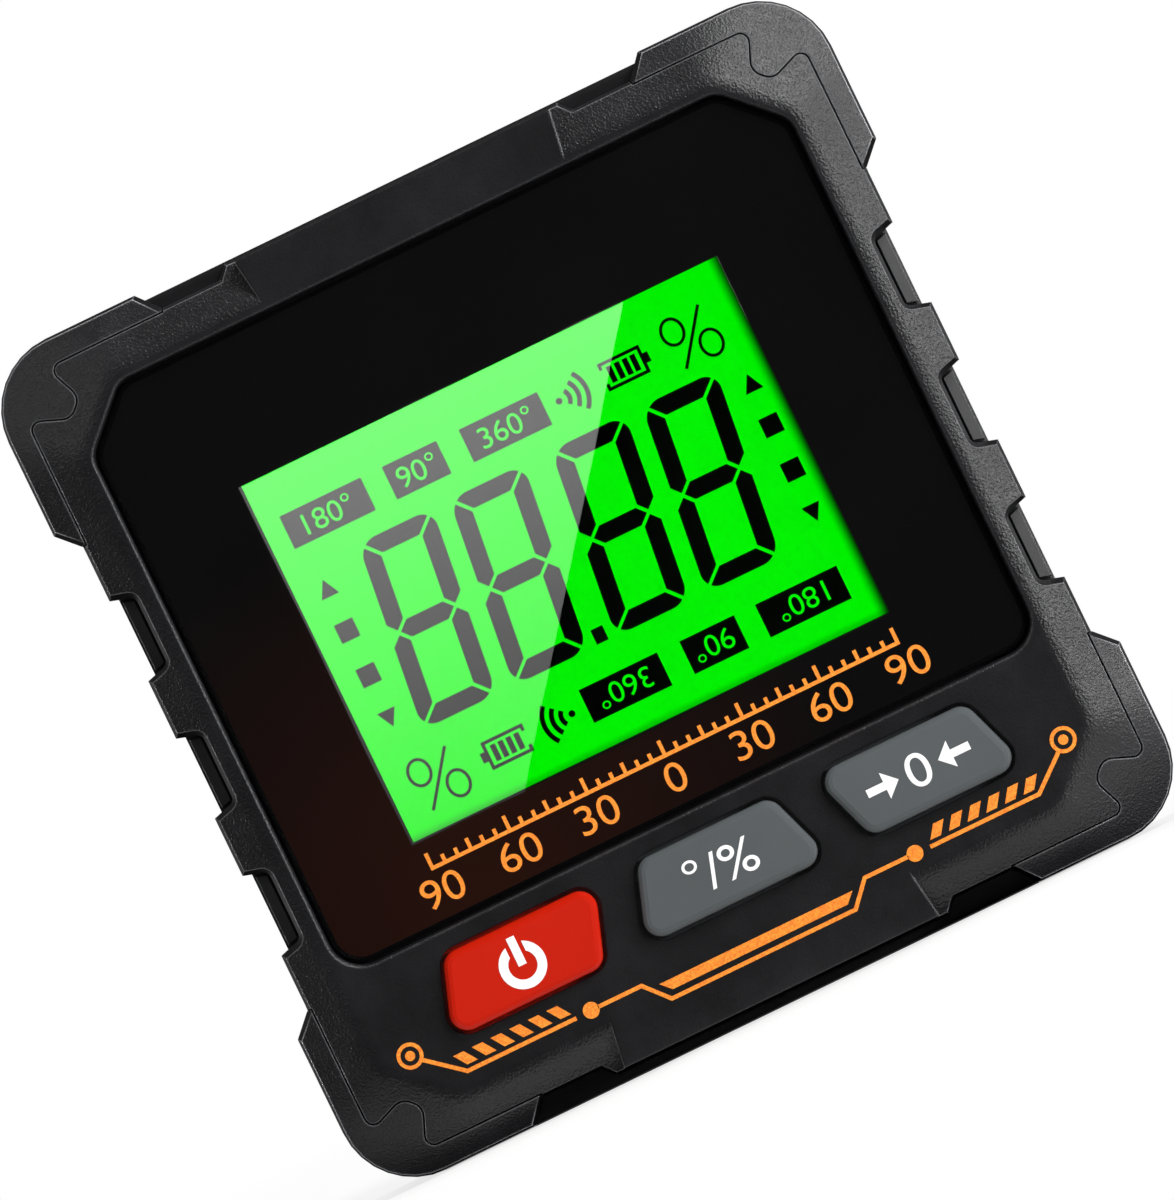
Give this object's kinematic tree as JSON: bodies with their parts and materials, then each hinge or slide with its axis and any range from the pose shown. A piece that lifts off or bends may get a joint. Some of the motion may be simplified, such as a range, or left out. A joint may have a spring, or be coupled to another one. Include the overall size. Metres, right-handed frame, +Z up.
{
  "type": "digital angle gauge",
  "caption": "Square digital angle gauge with a magnetic measuring base, lit display behind a dark window, slanted keys, corner guards and a rear battery door.",
  "frame": {"origin": "middle of the measuring base, under the middle of case and keys", "axes": "+Z up from the measuring base, -Y out of the display, +X to the right as the display is read"},
  "size_m": [0.0608, 0.0258, 0.0614],
  "materials": {
    "case_plastic": "moulded grain",
    "guard_rubber": "moulded grain",
    "window_acrylic": "polished",
    "display_glass": "lit from behind",
    "light_guide": "milky",
    "connector_rubber": "smooth",
    "board": "solder mask",
    "chip_epoxy": "moulded",
    "plunger_plastic": "moulded",
    "red_key": "satin",
    "grey_key": "satin",
    "cell_steel": "wrapped",
    "contact_metal": "nickel plated",
    "magnet_plating": "nickel plated",
    "screw_steel": "zinc plated"
  },
  "bodies": {
    "case": {"front_bezel": "case_plastic", "corner_guard_tl": "guard_rubber", "corner_guard_tr": "guard_rubber", "corner_guard_bl": "guard_rubber", "corner_guard_br": "guard_rubber", "display_window": "window_acrylic", "lcd_panel": "display_glass", "lcd_backlight": "light_guide", "lcd_connector": "connector_rubber", "main_board": "board", "angle_sensor": "chip_epoxy", "controller_chip": "chip_epoxy", "piezo_buzzer": "chip_epoxy", "board_screws": "screw_steel", "key_switches": "chip_epoxy", "rear_case": "case_plastic", "cell_upper": "cell_steel", "cell_lower": "cell_steel", "contact_plus": "contact_metal", "contact_minus": "contact_metal", "contact_bridge": "contact_metal", "spring_minus": "contact_metal", "spring_bridge": "contact_metal", "base_magnets": "magnet_plating", "case_screws": "screw_steel"},
    "power_key": {"key_power": "red_key", "plunger_power": "plunger_plastic"},
    "mode_key": {"key_mode": "grey_key", "plunger_mode": "plunger_plastic"},
    "zero_key": {"key_zero": "grey_key", "plunger_zero": "plunger_plastic"},
    "door": {"battery_cover": "case_plastic"}
  },
  "joints": [
    {"name": "power_key_press", "type": "slide", "parent": "case", "child": "power_key", "axis": [0, 1, 0], "range_m": [0, 0.0005], "stiffness_N_per_m": 600, "springref_m": -0.0005},
    {"name": "mode_key_press", "type": "slide", "parent": "case", "child": "mode_key", "axis": [0, 1, 0], "range_m": [0, 0.0005], "stiffness_N_per_m": 600, "springref_m": -0.0005},
    {"name": "zero_key_press", "type": "slide", "parent": "case", "child": "zero_key", "axis": [0, 1, 0], "range_m": [0, 0.0005], "stiffness_N_per_m": 600, "springref_m": -0.0005},
    {"name": "door_swing", "type": "hinge", "parent": "case", "child": "door", "pos_m": [0, 0.01287, 0.01825], "axis": [-1, 0, 0], "range_deg": [0, 72]}
  ]
}
